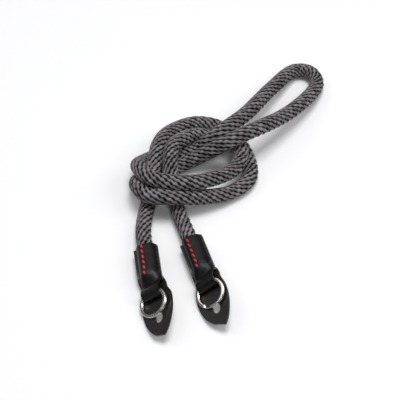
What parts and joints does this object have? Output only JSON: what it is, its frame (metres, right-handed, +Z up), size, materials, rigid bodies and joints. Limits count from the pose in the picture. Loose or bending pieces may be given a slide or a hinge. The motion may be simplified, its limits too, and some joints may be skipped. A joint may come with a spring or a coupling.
{
  "type": "camera neck strap",
  "caption": "Round braided rope neck strap tied in a loose overhand knot, with sewn leather ends, leaf-shaped guards and split rings.",
  "frame": {"origin": "on the floor plane, under the middle of the two leather ends' box", "axes": "+Z up, the leather ends point to -Y, the knot lies towards +Y and the rope's loop towards +X and +Y"},
  "size_m": [0.1361, 0.2371, 0.0291],
  "materials": {
    "cotton_rope": "braided, matt",
    "sleeve_leather": "smooth, satin",
    "guard_leather": "smooth, satin",
    "ring_steel": "bright nickel"
  },
  "bodies": {
    "root": {"rope": "cotton_rope", "left_sleeve": "sleeve_leather", "right_sleeve": "sleeve_leather", "left_guard": "guard_leather", "right_guard": "guard_leather", "left_ring": "ring_steel", "right_ring": "ring_steel"}
  },
  "joints": []
}
